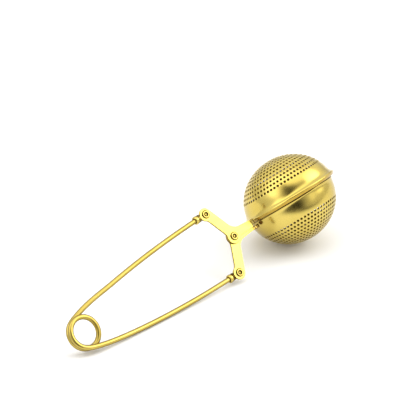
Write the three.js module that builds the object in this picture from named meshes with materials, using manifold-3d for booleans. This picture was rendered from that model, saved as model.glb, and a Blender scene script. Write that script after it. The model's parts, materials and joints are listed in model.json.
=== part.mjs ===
// Tea infuser: a two-shell ball on a pair of crossed bell-crank levers, opened
// by squeezing a spring handle bent from wire, with a coil at its far end.
// Millimetres, +Z up. It lies tilted on a table at z = 0, centred on the origin
// in x and y; +X runs from the coil towards the ball.
import * as THREE from 'three';
import { mergeVertices } from 'three/addons/utils/BufferGeometryUtils.js';
import Module from 'manifold-3d';

const wasm = await Module();
wasm.setup();

// ---------------------------------------------------------------- dimensions
// All parts are built in a design frame with the pivot at its origin:
// x along the handle towards the ball, y across it towards the upper lever,
// z along the pivot rivet. Only the last section turns them onto the table.
const BALL_X = 43.67;            // pivot to ball centre
const BALL_POLAR_R = 23.55;      // seam plane to pole: the ball is slightly flat
const SHEET = 0.6;               // shell wall
const SKIRT_R = 27.4;            // outside of the upper shell's turned-down skirt
const SKIRT_TOP = 1.3;           // height at which the flare turns down into the skirt
const RIM_R = 26.2;              // flared rim of the lower shell, inside the skirt
const RIM_TOP = 0.55;            // how far that rim passes the seam plane
const SHELL_SEGMENTS = 40;

const REAR_X = -8.0;             // pivot to the rear rivets, along the handle
const REAR_Y = 17.1;             // half the distance between the rear rivets
const LEVER_T = 1.0;             // lever plate and fitting eye thickness
const LEVER_GAP = 0.1;           // between stacked plates, and under rivet heads
const LEVER_END_R = 3.5;         // rounded rear end
const LEVER_HUB_R = 3.9;         // rounding about the pivot
const STRIP_IN = 2.1;            // rivet line to the lever edge on the handle side
const STRIP_OUT = LEVER_END_R;   // rivet line to the lever edge on the ball side
const STEM_END_X = 13.6;         // end of the flat stem
const STEM_LOW = -1.5;
const STEM_HIGH = 3.4;
const NECK_START_X = 12.8;       // the neck overlaps the end of the stem
const NECK_INSET = 0.2;          // neck edge from tab edge, each side
const TAB_T = 0.8;
const TAB_HALF_DEPTH = 1.5;      // along the rivets

const PIVOT_SHANK_R = 1.4;
const PIVOT_HOLE_R = 1.5;
const REAR_SHANK_R = 0.9;
const REAR_HOLE_R = 1.0;
const HEAD_R = 2.1;
const HEAD_T = 0.6;
const HEAD_BEVEL = 0.35;         // radial width of the bevel on both heads
const TAIL_BEVEL_H = 0.3;        // height of the tail head's bevel
const ROLLED_EDGE_H = 0.25;      // upright edge of the rolled head
const HEAD_BORE_R = 1.15;        // hollow of the rolled head, at its mouth
const HEAD_MOUTH_DEPTH = 0.45;   // depth at which the hollow reaches its final radius
const HEAD_BORE_DEPTH = 1.3;
const SHANK_WALL = 0.25;         // least wall around the hollow

const EYE_R = 3.1;               // eye of the end fitting
const TONGUE_HALF_W = 1.9;
const TONGUE_LAP = 0.6;          // tongue end inside the collar
const COLLAR_R = 2.05;
const COLLAR_NEAR = 3.85;        // collar faces, measured back from the rear rivet
const COLLAR_FAR = 5.85;
const COLLAR_BEVEL = 0.2;
const COLLAR_BORE_R = 1.32;
const COLLAR_FLOOR = 0.7;        // metal left between the near face and the bore

const WIRE_R = 1.15;
const WIRE_END_GAP = 0.15;       // wire end to the floor of the collar bore
const COIL_X = -97.62;           // coil centre
const COIL_R = 7.02;             // coil centreline radius
const COIL_PITCH = 2.5;          // rise of the wire per turn
const COIL_END_ANGLE = 0.03;     // radians each half stops short of the ball side
const ARM_CONTROL_NEAR = [-55.7, 16.12];   // Bezier controls of the bowed arm, [x, y]
const ARM_CONTROL_FAR = [-91.19, 10.83];
const WIRE_SIDES = 10;
const WIRE_STEPS = 58;
const ARM_POINTS = 26;
const COIL_POINTS = 24;

const PITCH = THREE.MathUtils.degToRad(6.77);   // ball end raised
const ROLL = THREE.MathUtils.degToRad(52.7);    // upper lever raised

// What differs between the two halves. Each half's eye lies under its lever.
function half(values) {
  const eyeTop = values.leverBottom - LEVER_GAP;
  return {
    ...values,
    leverTop: values.leverBottom + LEVER_T,
    eyeBottom: eyeTop - LEVER_T,
    eyeMiddle: eyeTop - LEVER_T / 2,
  };
}

const UPPER = half({
  side: 1,                       // sign of y
  leverBottom: LEVER_GAP / 2,
  tabEndX: 15.95,                // tab face beside the skirt
  tabY: [0.15, 2.3],             // tab edges, before mirroring by side
  eyeHoleR: 2.35,                // clears the rivet heads
  ballR: 25.6,                   // a little wider, so its skirt closes over the lower rim
  // [radius, height towards the pole]: inside of the flare, then its outside
  mouth: [
    [24.8, 3.3], [25.1, 2.5], [25.7, 1.75], [26.45, 1.25],
    [SKIRT_R - SHEET, 0.8], [SKIRT_R - SHEET, 0],
  ],
  rim: [
    [SKIRT_R, 0], [SKIRT_R, SKIRT_TOP], [26.95, 1.75], [26.3, 2.15],
    [25.8, 2.7], [25.45, 3.4], [25.1, 4.6],
  ],
});
const LOWER = half({
  side: -1,
  leverBottom: -LEVER_GAP / 2 - LEVER_T,
  tabEndX: 18.25,                // tab face beside the lower shell's plain band
  tabY: [1.3, 3.3],
  eyeHoleR: REAR_HOLE_R,
  ballR: 25.0,
  mouth: [[24.3, 2.1], [24.6, 1.1], [25.1, 0.3], [RIM_R - SHEET, -RIM_TOP]],
  rim: [[RIM_R, -RIM_TOP], [25.75, 0.3], [25.3, 1.1], [25.0, 2.1], [24.8, 3.1]],
});

// ----------------------------------------------------------------- materials
const gold = ({ name, color, roughness }) =>
  new THREE.MeshStandardMaterial({ name, color, roughness, metalness: 1.0 });
const shellMetal = gold({ name: 'shell_metal', color: 0xcbaa4e, roughness: 0.34 });
const leverMetal = gold({ name: 'lever_metal', color: 0xe2cc74, roughness: 0.3 });
const rivetMetal = gold({ name: 'rivet_metal', color: 0xc2a044, roughness: 0.32 });
const wireMetal = gold({ name: 'wire_metal', color: 0xd0b25a, roughness: 0.28 });

// ------------------------------------------------------------------- helpers
function toSolid(geometry) {
  // corners can only be merged once they no longer differ in normal or uv
  geometry.deleteAttribute('normal');
  geometry.deleteAttribute('uv');
  const merged = mergeVertices(geometry, 1e-5);
  return new wasm.Manifold(new wasm.Mesh({
    numProp: 3,
    vertProperties: new Float32Array(merged.attributes.position.array),
    triVerts: new Uint32Array(merged.index.array),
  }));
}

function union(...geometries) {
  const mesh = geometries.map(toSolid).reduce((sum, solid) => sum.add(solid)).getMesh();
  const geometry = new THREE.BufferGeometry();
  const positions = new Float32Array(mesh.vertProperties);
  geometry.setAttribute('position', new THREE.BufferAttribute(positions, 3));
  geometry.setIndex(new THREE.BufferAttribute(new Uint32Array(mesh.triVerts), 1));
  geometry.computeVertexNormals();
  return geometry;
}

function box([x0, x1], [y0, y1], [z0, z1]) {
  const geometry = new THREE.BoxGeometry(x1 - x0, y1 - y0, z1 - z0);
  return geometry.translate((x0 + x1) / 2, (y0 + y1) / 2, (z0 + z1) / 2);
}

// Revolves [radius, y] points about the y axis.
function lathe(profile, segments) {
  return new THREE.LatheGeometry(profile.map((point) => new THREE.Vector2(...point)), segments);
}

function extrudePlate(shape, bottom) {
  const options = { depth: LEVER_T, bevelEnabled: false, curveSegments: 6 };
  return new THREE.ExtrudeGeometry(shape, options).translate(0, 0, bottom);
}

const polar = ([x, y], radius, angle) =>
  [x + radius * Math.cos(angle), y + radius * Math.sin(angle)];

// Draws a regular polygon on an empty path or shape.
function polygon(path, centre, radius, sides) {
  path.moveTo(...polar(centre, radius, 0));
  for (let i = 1; i < sides; i++) {
    path.lineTo(...polar(centre, radius, (i / sides) * 2 * Math.PI));
  }
  return path.closePath();
}

const hole = (centre, radius, sides) => polygon(new THREE.Path(), centre, radius, sides);

// -------------------------------------------------------------------- shells
function shell({ side, ballR, mouth, rim }) {
  // point on the flattened ball at a height above the seam plane
  const bodyPoint = (height, inset) => {
    const ratio = height / (BALL_POLAR_R - inset);
    return [(ballR - inset) * Math.sqrt(1 - ratio ** 2), height];
  };
  // from the inner pole down to the mouth, round the rim and up to the outer pole
  const profile = [
    [0, BALL_POLAR_R - SHEET],
    ...[22.4, 21.2, 19.2, 16.4, 13.2, 9.5, 5.5].map((height) => bodyPoint(height, SHEET)),
    ...mouth,
    ...rim,
    ...[6.5, 9.5, 12.5, 15.5, 18.2, 20.4, 22.0, 23.05].map((height) => bodyPoint(height, 0)),
    [0, BALL_POLAR_R],
  ].map(([radius, height]) => [radius, side * height]);
  // mirroring turns the skin inside out; reversing the profile turns it back
  if (side < 0) profile.reverse();
  return lathe(profile, SHELL_SEGMENTS).translate(BALL_X, 0, 0);
}

// -------------------------------------------------------------------- levers
const REAR_DISTANCE = Math.hypot(REAR_X, REAR_Y);
const ALONG = [REAR_X / REAR_DISTANCE, REAR_Y / REAR_DISTANCE];    // pivot to rear rivet
const OUTWARD = [REAR_Y / REAR_DISTANCE, -REAR_X / REAR_DISTANCE]; // towards the ball side

// Point at a distance along the rivet line and an offset towards the ball side.
const onStrip = (distance, offset) =>
  [0, 1].map((axis) => ALONG[axis] * distance + OUTWARD[axis] * offset);

// Drawn for the upper lever, from the low corner of the stem end; side mirrors it.
function leverShape(side) {
  const shape = new THREE.Shape();
  const mirror = ([x, y]) => [x, side * y];
  const line = (end) => shape.lineTo(...mirror(end));
  const curve = (control, end) => shape.quadraticCurveTo(...mirror(control), ...mirror(end));
  const arc = (centre, radius, start, end, steps) => {
    for (let i = 0; i <= steps; i++) {
      line(polar(centre, radius, start + (end - start) * i / steps));
    }
  };
  const radians = THREE.MathUtils.degToRad;
  const pivot = [0, 0];
  const rear = [REAR_X, REAR_Y];

  shape.moveTo(...mirror([STEM_END_X, STEM_LOW]));
  line([STEM_END_X, 2.6]);
  line([5.6, STEM_HIGH]);
  // up the ball side of the strip and round its rear end
  curve([1.9, 3.75], onStrip(6.8, STRIP_OUT));
  arc(rear, LEVER_END_R, Math.atan2(OUTWARD[1], OUTWARD[0]), radians(240), 12);
  // back down the handle side, round the hub and into the stem
  curve(onStrip(16.1, -STRIP_IN), onStrip(14.2, -STRIP_IN));
  line(onStrip(5.4, -STRIP_IN));
  curve(onStrip(3.5, -STRIP_IN), polar(pivot, LEVER_HUB_R, radians(162)));
  arc(pivot, LEVER_HUB_R, radians(172), radians(320), 10);
  curve([3.9, -1.75], [5.4, STEM_LOW]);
  line([STEM_END_X, STEM_LOW]);

  shape.holes.push(hole(pivot, PIVOT_HOLE_R, 16), hole(mirror(rear), REAR_HOLE_R, 16));
  return shape;
}

// The stem narrows to a neck and ends in a tab turned across it, facing the ball.
function lever({ side, leverBottom, leverTop, tabEndX, tabY: [tabLow, tabHigh] }) {
  const mirror = (low, high) => (side > 0 ? [low, high] : [-high, -low]);
  const plate = extrudePlate(leverShape(side), leverBottom);
  const neck = box(
    [NECK_START_X, tabEndX - TAB_T / 2],
    mirror(tabLow + NECK_INSET, tabHigh - NECK_INSET),
    [leverBottom, leverTop],
  );
  const tab = box(
    [tabEndX - TAB_T, tabEndX],
    mirror(tabLow, tabHigh),
    [-TAB_HALF_DEPTH, TAB_HALF_DEPTH],
  );
  return union(plate, neck, tab);
}

// -------------------------------------------------------------------- rivets
// Clamps a stack of plates: a tail head below and a rolled, hollow head above.
function rivet([x, y], stackBottom, stackTop, shankR) {
  const bottom = stackBottom - LEVER_GAP;
  const top = stackTop + LEVER_GAP;
  const headTop = top + HEAD_T;
  const boreR = Math.min(HEAD_BORE_R, shankR - SHANK_WALL);
  const profile = [
    [0, bottom - HEAD_T],
    [HEAD_R - HEAD_BEVEL, bottom - HEAD_T],
    [HEAD_R, bottom - HEAD_T + TAIL_BEVEL_H],
    [HEAD_R, bottom],
    [shankR, bottom],
    [shankR, top],
    [HEAD_R, top],
    [HEAD_R, top + ROLLED_EDGE_H],
    [HEAD_R - HEAD_BEVEL, headTop],
    [HEAD_BORE_R, headTop],
    [boreR, headTop - HEAD_MOUTH_DEPTH],
    [boreR, headTop - HEAD_BORE_DEPTH],
    [0, headTop - HEAD_BORE_DEPTH],
  ];
  return lathe(profile, 16).rotateX(Math.PI / 2).translate(x, y, 0);
}

const rearRivet = ({ side, eyeBottom, leverTop }) =>
  rivet([REAR_X, side * REAR_Y], eyeBottom, leverTop, REAR_SHANK_R);

// -------------------------------------------------------------- end fittings
// A flat eye under the lever's rounded end, and a collar that takes the wire.
function endFitting({ side, eyeBottom, eyeMiddle, eyeHoleR }) {
  const centre = [REAR_X, side * REAR_Y];
  const [x, y] = centre;
  const tongueEndX = x - COLLAR_NEAR - TONGUE_LAP;
  const tongueAngle = Math.asin(TONGUE_HALF_W / EYE_R);  // where the tongue meets the eye
  const shape = new THREE.Shape();
  shape.moveTo(tongueEndX, y - TONGUE_HALF_W);
  for (let i = 0; i <= 20; i++) {
    const angle = -Math.PI + tongueAngle + (2 * Math.PI - 2 * tongueAngle) * i / 20;
    shape.lineTo(...polar(centre, EYE_R, angle));
  }
  shape.lineTo(tongueEndX, y + TONGUE_HALF_W);
  shape.closePath();
  shape.holes.push(hole(centre, eyeHoleR, 18));

  // revolved with its bore opening along +y, then turned to open towards the coil
  const collar = lathe([
    [0, COLLAR_NEAR],
    [COLLAR_R - COLLAR_BEVEL, COLLAR_NEAR],
    [COLLAR_R, COLLAR_NEAR + COLLAR_BEVEL],
    [COLLAR_R, COLLAR_FAR - COLLAR_BEVEL],
    [COLLAR_R - COLLAR_BEVEL, COLLAR_FAR],
    [COLLAR_BORE_R, COLLAR_FAR],
    [COLLAR_BORE_R, COLLAR_NEAR + COLLAR_FLOOR],
    [0, COLLAR_NEAR + COLLAR_FLOOR],
  ], 16);
  collar.rotateZ(Math.PI / 2).translate(x, y, eyeMiddle);
  return union(extrudePlate(shape, eyeBottom), collar);
}

// --------------------------------------------------------------- spring wire
// Half of the handle: a bowed arm from its collar, then its share of the coil.
// The two halves end next to each other on the coil's ball side, at z = 0.
function springArm({ side, eyeMiddle }) {
  // the arm's last control point lies on the coil's tangent at the point of touch
  const controlX = ARM_CONTROL_FAR[0] - COIL_X;
  const controlY = ARM_CONTROL_FAR[1];
  const touchAngle = Math.atan2(controlY, controlX)
    + Math.acos(COIL_R / Math.hypot(controlX, controlY));
  const coilCentre = [COIL_X, 0];
  const arm = new THREE.CubicBezierCurve(
    new THREE.Vector2(REAR_X - COLLAR_NEAR - COLLAR_FLOOR - WIRE_END_GAP, REAR_Y),
    new THREE.Vector2(...ARM_CONTROL_NEAR),
    new THREE.Vector2(...ARM_CONTROL_FAR),
    new THREE.Vector2(...polar(coilCentre, COIL_R, touchAngle)),
  );
  const turn = 2 * Math.PI - touchAngle;
  const sweep = turn - COIL_END_ANGLE;
  const touchZ = -side * COIL_PITCH * turn / (2 * Math.PI);

  const points = [];
  for (let i = 0; i <= ARM_POINTS; i++) {
    const { x, y } = arm.getPoint(i / ARM_POINTS);
    const blend = THREE.MathUtils.smoothstep(i / ARM_POINTS, 0, 1);
    points.push(new THREE.Vector3(x, side * y, eyeMiddle + (touchZ - eyeMiddle) * blend));
  }
  for (let i = 1; i <= COIL_POINTS; i++) {
    const fraction = i / COIL_POINTS;
    const [x, y] = polar(coilCentre, COIL_R, touchAngle + sweep * fraction);
    points.push(new THREE.Vector3(x, side * y, touchZ * (1 - fraction)));
  }
  return new THREE.ExtrudeGeometry(polygon(new THREE.Shape(), [0, 0], WIRE_R, WIRE_SIDES), {
    steps: WIRE_STEPS,
    bevelEnabled: false,
    extrudePath: new THREE.CatmullRomCurve3(points, false, 'centripetal'),
  });
}

// ------------------------------------------------------------------ assembly
const designFrame = new THREE.Group();
function add(name, geometry, material) {
  const mesh = new THREE.Mesh(geometry, material);
  mesh.name = name;
  designFrame.add(mesh);
}

add('upper_shell', shell(UPPER), shellMetal);
add('lower_shell', shell(LOWER), shellMetal);
add('upper_lever', lever(UPPER), leverMetal);
add('lower_lever', lever(LOWER), leverMetal);
add('pivot_rivet', rivet([0, 0], LOWER.leverBottom, UPPER.leverTop, PIVOT_SHANK_R), rivetMetal);
add('upper_rivet', rearRivet(UPPER), rivetMetal);
add('lower_rivet', rearRivet(LOWER), rivetMetal);
add('upper_end_fitting', endFitting(UPPER), rivetMetal);
add('lower_end_fitting', endFitting(LOWER), rivetMetal);
add('spring_upper_arm', springArm(UPPER), wireMetal);
add('spring_lower_arm', springArm(LOWER), wireMetal);

// -------------------------------------------------------------- resting pose
// The table's axes as seen in the design frame; the transpose turns parts to them.
const tableZ = new THREE.Vector3(
  Math.sin(PITCH),
  Math.cos(PITCH) * Math.sin(ROLL),
  Math.cos(PITCH) * Math.cos(ROLL),
);
const tableX = new THREE.Vector3(1, 0, 0).addScaledVector(tableZ, -tableZ.x).normalize();
const tableY = new THREE.Vector3().crossVectors(tableZ, tableX);
designFrame.quaternion.setFromRotationMatrix(
  new THREE.Matrix4().makeBasis(tableX, tableY, tableZ).transpose(),
);

const infuser = new THREE.Group();
infuser.name = 'tea_infuser';
infuser.add(designFrame);
infuser.updateMatrixWorld(true);
const { min, max } = new THREE.Box3().setFromObject(infuser, true);
designFrame.position.set(-(min.x + max.x) / 2, -(min.y + max.y) / 2, -min.z);
infuser.updateMatrixWorld(true);

export default infuser;
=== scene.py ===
# Tea infuser: two perforated half balls on crossed, riveted levers, squeezed open by a handle
# of one sprung wire with a coil at its far end.
# Every piece is modelled in the handle's frame in millimetres (u along the handle towards the
# ball, v across it towards the upper lever, n along the centre rivet, origin at the centre
# rivet) and then placed in the row frame in metres.
import bpy
import bmesh
import json
import math
import numpy as np
from collections import namedtuple
from types import SimpleNamespace
from mathutils import Vector, Matrix


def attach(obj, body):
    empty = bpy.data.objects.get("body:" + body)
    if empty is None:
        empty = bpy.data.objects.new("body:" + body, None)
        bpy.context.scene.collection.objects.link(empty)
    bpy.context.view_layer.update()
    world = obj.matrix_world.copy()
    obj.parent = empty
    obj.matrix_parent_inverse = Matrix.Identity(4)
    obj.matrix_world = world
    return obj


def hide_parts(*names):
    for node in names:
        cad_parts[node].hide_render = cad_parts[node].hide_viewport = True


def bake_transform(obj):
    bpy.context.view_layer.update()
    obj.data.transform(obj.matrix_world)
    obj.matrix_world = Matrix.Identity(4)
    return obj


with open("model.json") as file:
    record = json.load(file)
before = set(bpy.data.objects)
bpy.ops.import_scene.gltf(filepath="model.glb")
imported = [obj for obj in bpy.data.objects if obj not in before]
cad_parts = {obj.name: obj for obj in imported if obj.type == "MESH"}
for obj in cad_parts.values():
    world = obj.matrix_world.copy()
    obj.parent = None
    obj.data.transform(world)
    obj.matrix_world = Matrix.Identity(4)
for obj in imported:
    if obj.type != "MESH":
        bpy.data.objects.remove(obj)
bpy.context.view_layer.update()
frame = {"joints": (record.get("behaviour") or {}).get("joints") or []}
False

# ------------------------------------------------------------- handle frame
joints = {joint["name"]: joint for joint in frame["joints"]}
PIVOT = Vector(joints["jaw_open"]["pos_m"])
COIL = Vector(joints["coil_flex"]["pos_m"])
N_AXIS = Vector(joints["jaw_open"]["axis"]).normalized()
U_AXIS = (PIVOT - COIL).normalized()
V_AXIS = N_AXIS.cross(U_AXIS).normalized()
HANDLE_AXES = np.array([list(U_AXIS), list(V_AXIS), list(N_AXIS)])
HANDLE_ORIGIN = np.array(list(PIVOT))


def to_row_frame(points):
    """(u, v, n) points in mm as an array of row frame points in metres"""
    return np.asarray(points, float).reshape(-1, 3) @ HANDLE_AXES / 1000.0 + HANDLE_ORIGIN


def row_point(u, v, n):
    return Vector(to_row_frame([[u, v, n]])[0])


# --------------------------------------------------- shared dimensions (mm)
BALL_U = 43.67                    # ball centre along the handle
LOWER_BALL_R, UPPER_BALL_R = 25.0, 25.8
POLAR_R = 23.55                   # both shells, from the ball's middle plane to the pole
UPPER_SHIFT = (0.55, 0.35)        # the upper shell's seat on its lever, in u and v
WALL = 0.44
REAR_U, REAR_V = -8.0, 17.1       # rivet at the rear end of each lever
PLATE, GAP = 1.0, 0.1             # thickness of levers and eyes, and the play between them
# faces of the two stacked lever plates and tops of the wire end eyes, along n
UPPER_PLATE_LOW = GAP / 2
UPPER_PLATE_TOP = UPPER_PLATE_LOW + PLATE
LOWER_PLATE_TOP = -GAP / 2
LOWER_PLATE_LOW = LOWER_PLATE_TOP - PLATE
UPPER_EYE_TOP = UPPER_PLATE_LOW - GAP
LOWER_EYE_TOP = LOWER_PLATE_LOW - GAP

# camera in the handle frame: rows are its right, up and back axes; the origin's place in
# those axes is in mm
CAMERA_ROWS = np.array([
    [0.70997457, -0.52099124, 0.47381878],
    [0.44000963, 0.8535, 0.27915815],
    [-0.54984328, 0.01028964, 0.83520446],
])
ORIGIN_FROM_CAMERA = np.array([11.8857679, -13.6457737, -512.627066])
CAMERA_POS = -CAMERA_ROWS.T @ ORIGIN_FROM_CAMERA
CAMERA_SENSOR = 36.0
CAMERA_LENS = 85.714286

ball_centre = row_point(BALL_U, 0, 0)


# ------------------------------------------------------------- mesh helpers
def new_mesh(name, verts, faces, sharp_angle, weighted=True):
    """an object from handle frame vertices, with its normals facing out"""
    mesh = bpy.data.meshes.new(name)
    mesh.from_pydata([tuple(p) for p in to_row_frame(verts)], [], [tuple(f) for f in faces])
    mesh.validate()
    bm = bmesh.new()
    bm.from_mesh(mesh)
    bmesh.ops.remove_doubles(bm, verts=bm.verts, dist=2e-7)
    bmesh.ops.recalc_face_normals(bm, faces=bm.faces)
    bm.to_mesh(mesh)
    bm.free()
    return finish_mesh(name, mesh, sharp_angle, weighted)


def finish_mesh(name, mesh, sharp_angle, weighted=True):
    mesh.shade_smooth()
    mesh.set_sharp_from_angle(angle=math.radians(sharp_angle))
    obj = bpy.data.objects.new(name, mesh)
    bpy.context.scene.collection.objects.link(obj)
    if weighted:
        normals = obj.modifiers.new("weighted_normals", "WEIGHTED_NORMAL")
        normals.keep_sharp = True
        normals.weight = 60
    return obj


def set_painted_shade(mesh, values):
    """stores how much painted shade each vertex holds"""
    painted_shade = mesh.attributes.new("painted_shade", "FLOAT", "POINT")
    painted_shade.data.foreach_set("value", np.array(values, np.float32))


def join_rings(faces, first, second):
    """faces between two closed rings of equal count; either may be a single pole vertex"""
    count = max(len(first), len(second))
    for i in range(count):
        j = (i + 1) % count
        if len(first) == 1:
            faces.append((first[0], second[j], second[i]))
        elif len(second) == 1:
            faces.append((first[i], first[j], second[0]))
        else:
            faces.append((first[i], first[j], second[j], second[i]))


def lathe(profile, segments, origin, axis):
    """vertices and faces of a profile of (radius, height) points, running from pole to pole,
    turned about the 'u' or 'n' axis through origin"""
    verts, faces, rings = [], [], []
    for radius, height in profile:
        count = 1 if radius < 1e-9 else segments
        rings.append(range(len(verts), len(verts) + count))
        for i in range(count):
            angle = 2 * math.pi * i / segments
            x, y = radius * math.cos(angle), radius * math.sin(angle)
            verts.append((x, y, height) if axis == "n" else (height, x, y))
    for first, second in zip(rings[:-1], rings[1:]):
        join_rings(faces, first, second)
    return np.array(verts) + np.array(origin, float), faces


def rounded(profile, steps):
    """the profile with each corner that has a third value rounded to that radius"""
    out = []
    for i, point in enumerate(profile):
        if len(point) < 3:
            out.append(point)
            continue
        corner = np.array(point[:2], float)
        before = np.array(profile[i - 1][:2], float) - corner
        after = np.array(profile[i + 1][:2], float) - corner
        before_length, after_length = np.linalg.norm(before), np.linalg.norm(after)
        before, after = before / before_length, after / after_length
        angle = math.acos(max(-1, min(1, float(before @ after))))
        reach = min(point[2] / math.tan(angle / 2), before_length * 0.49, after_length * 0.49)
        start, end = corner + before * reach, corner + after * reach
        for k in range(steps + 1):
            t = k / steps
            x, y = (1 - t) ** 2 * start + 2 * (1 - t) * t * corner + t * t * end
            out.append((float(x), float(y)))
    return out


# ----------------------------------------------------------- shader helpers
class Shader:
    """adds nodes to a node tree; any input takes a value or the output socket to link from"""

    def __init__(self, tree):
        self.tree = tree

    def set(self, node, inputs):
        for key, value in inputs.items():
            if isinstance(value, bpy.types.NodeSocket):
                self.tree.links.new(value, node.inputs[key])
            else:
                node.inputs[key].default_value = value

    def add(self, kind, inputs=None, **settings):
        node = self.tree.nodes.new("ShaderNode" + kind)
        for key, value in settings.items():
            setattr(node, key, value)
        self.set(node, inputs or {})
        return node

    def math(self, operation, *values, clamp=False):
        node = self.add("Math", dict(enumerate(values)), operation=operation, use_clamp=clamp)
        return node.outputs[0]

    def vector(self, operation, *values):
        node = self.add("VectorMath", dict(enumerate(values)), operation=operation)
        return node.outputs["Value" if operation in ("DOT_PRODUCT", "LENGTH") else 0]

    def scale(self, vector, factor):
        return self.add("VectorMath", {0: vector, "Scale": factor}, operation="SCALE").outputs[0]

    def offset(self, point, origin, axis):
        """the point relative to origin, and its height along axis"""
        relative = self.vector("SUBTRACT", point, origin)
        return relative, self.vector("DOT_PRODUCT", relative, axis)

    def map_range(self, value, source, target=(0.0, 1.0), smooth=False):
        inputs = {"Value": value, "From Min": source[0], "From Max": source[1],
                  "To Min": target[0], "To Max": target[1]}
        kind = "SMOOTHSTEP" if smooth else "LINEAR"
        return self.add("MapRange", inputs, interpolation_type=kind).outputs[0]

    def noise(self, scale, **inputs):
        return self.add("TexNoise", {"Scale": scale, **inputs}).outputs["Fac"]

    def ramp(self, factor, *stops):
        """a colour ramp through two (position, colour) stops"""
        node = self.add("ValToRGB", {"Fac": factor})
        for element, (position, colour) in zip(node.color_ramp.elements, stops):
            element.position = position
            element.color = colour
        return node.outputs["Color"]

    def mix(self, colour, target, weight):
        inputs = {"Factor": weight, "A": colour, "B": target}
        return self.add("Mix", inputs, data_type="RGBA").outputs["Result"]


def srgb(*channels):
    """linear colour from 0-255 display channels"""
    def linear(x):
        x = x / 255.0
        return x / 12.92 if x <= 0.04045 else ((x + 0.055) / 1.055) ** 2.4
    return (*(linear(x) for x in channels), 1.0)


# ---------------------------------------------------------------- materials
# a band of painted shade or painted highlight across a piece: it rises and falls between pairs
# of heights (mm)
LightBand = namedtuple("LightBand", "origin axis rise fall colour")
# painted shade on the inner face of a shell of the given radius (mm)
Inside = namedtuple("Inside", "origin axis radius colour")
# painted shade where the surface turns away from the view: facing values at its start and full
# weight
GrazingShade = namedtuple("GrazingShade", "start full weight")

# colour of the painted shade towards an outline
GRAZING_SHADE_COLOUR = srgb(116, 92, 26)
# colour of the painted shade in crevices
CREVICE_SHADE_COLOUR = srgb(84, 62, 18)


def ring_marks(shader, point, origin, axis):
    """texture place for marks round an axis: fast along it, slow round it"""
    relative, height = shader.offset(point, origin, axis)
    around = shader.scale(relative, 0.06)
    return shader.vector("ADD", around, shader.scale(axis, height))


def line_marks(shader, point, axis):
    """texture place for marks along an axis: the texture is squeezed along it"""
    height = shader.vector("DOT_PRODUCT", point, axis)
    return shader.vector("ADD", point, shader.scale(tuple(-0.93 * c for c in axis), height))


def light_band_weight(shader, point, haze, band):
    """weight of a band of painted shade or painted highlight across the piece, broken up a
    little by the haze
    """
    _, height = shader.offset(point, band.origin, band.axis)
    (rise_start, rise_end), (fall_start, fall_end) = band.rise, band.fall
    rise, fall = (
        shader.map_range(height, (start / 1000.0, end / 1000.0), smooth=True)
        for start, end in ((rise_start, rise_end), (fall_end, fall_start)))
    return shader.math("MULTIPLY", shader.math("MULTIPLY", rise, fall),
                       shader.map_range(haze, (0.3, 0.6), (0.7, 1.0)))


def inside_shade_weight(shader, point, inside):
    """1 on the inner face of a shell, 0 on its outer face"""
    relative, height = shader.offset(point, inside.origin, inside.axis)
    stretch = tuple(c * (inside.radius / POLAR_R - 1.0) for c in inside.axis)
    ball = shader.vector("ADD", relative, shader.scale(stretch, height))
    limits = ((inside.radius - 0.02) / 1000.0, (inside.radius - 0.14) / 1000.0)
    return shader.map_range(shader.vector("LENGTH", ball), limits)


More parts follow.
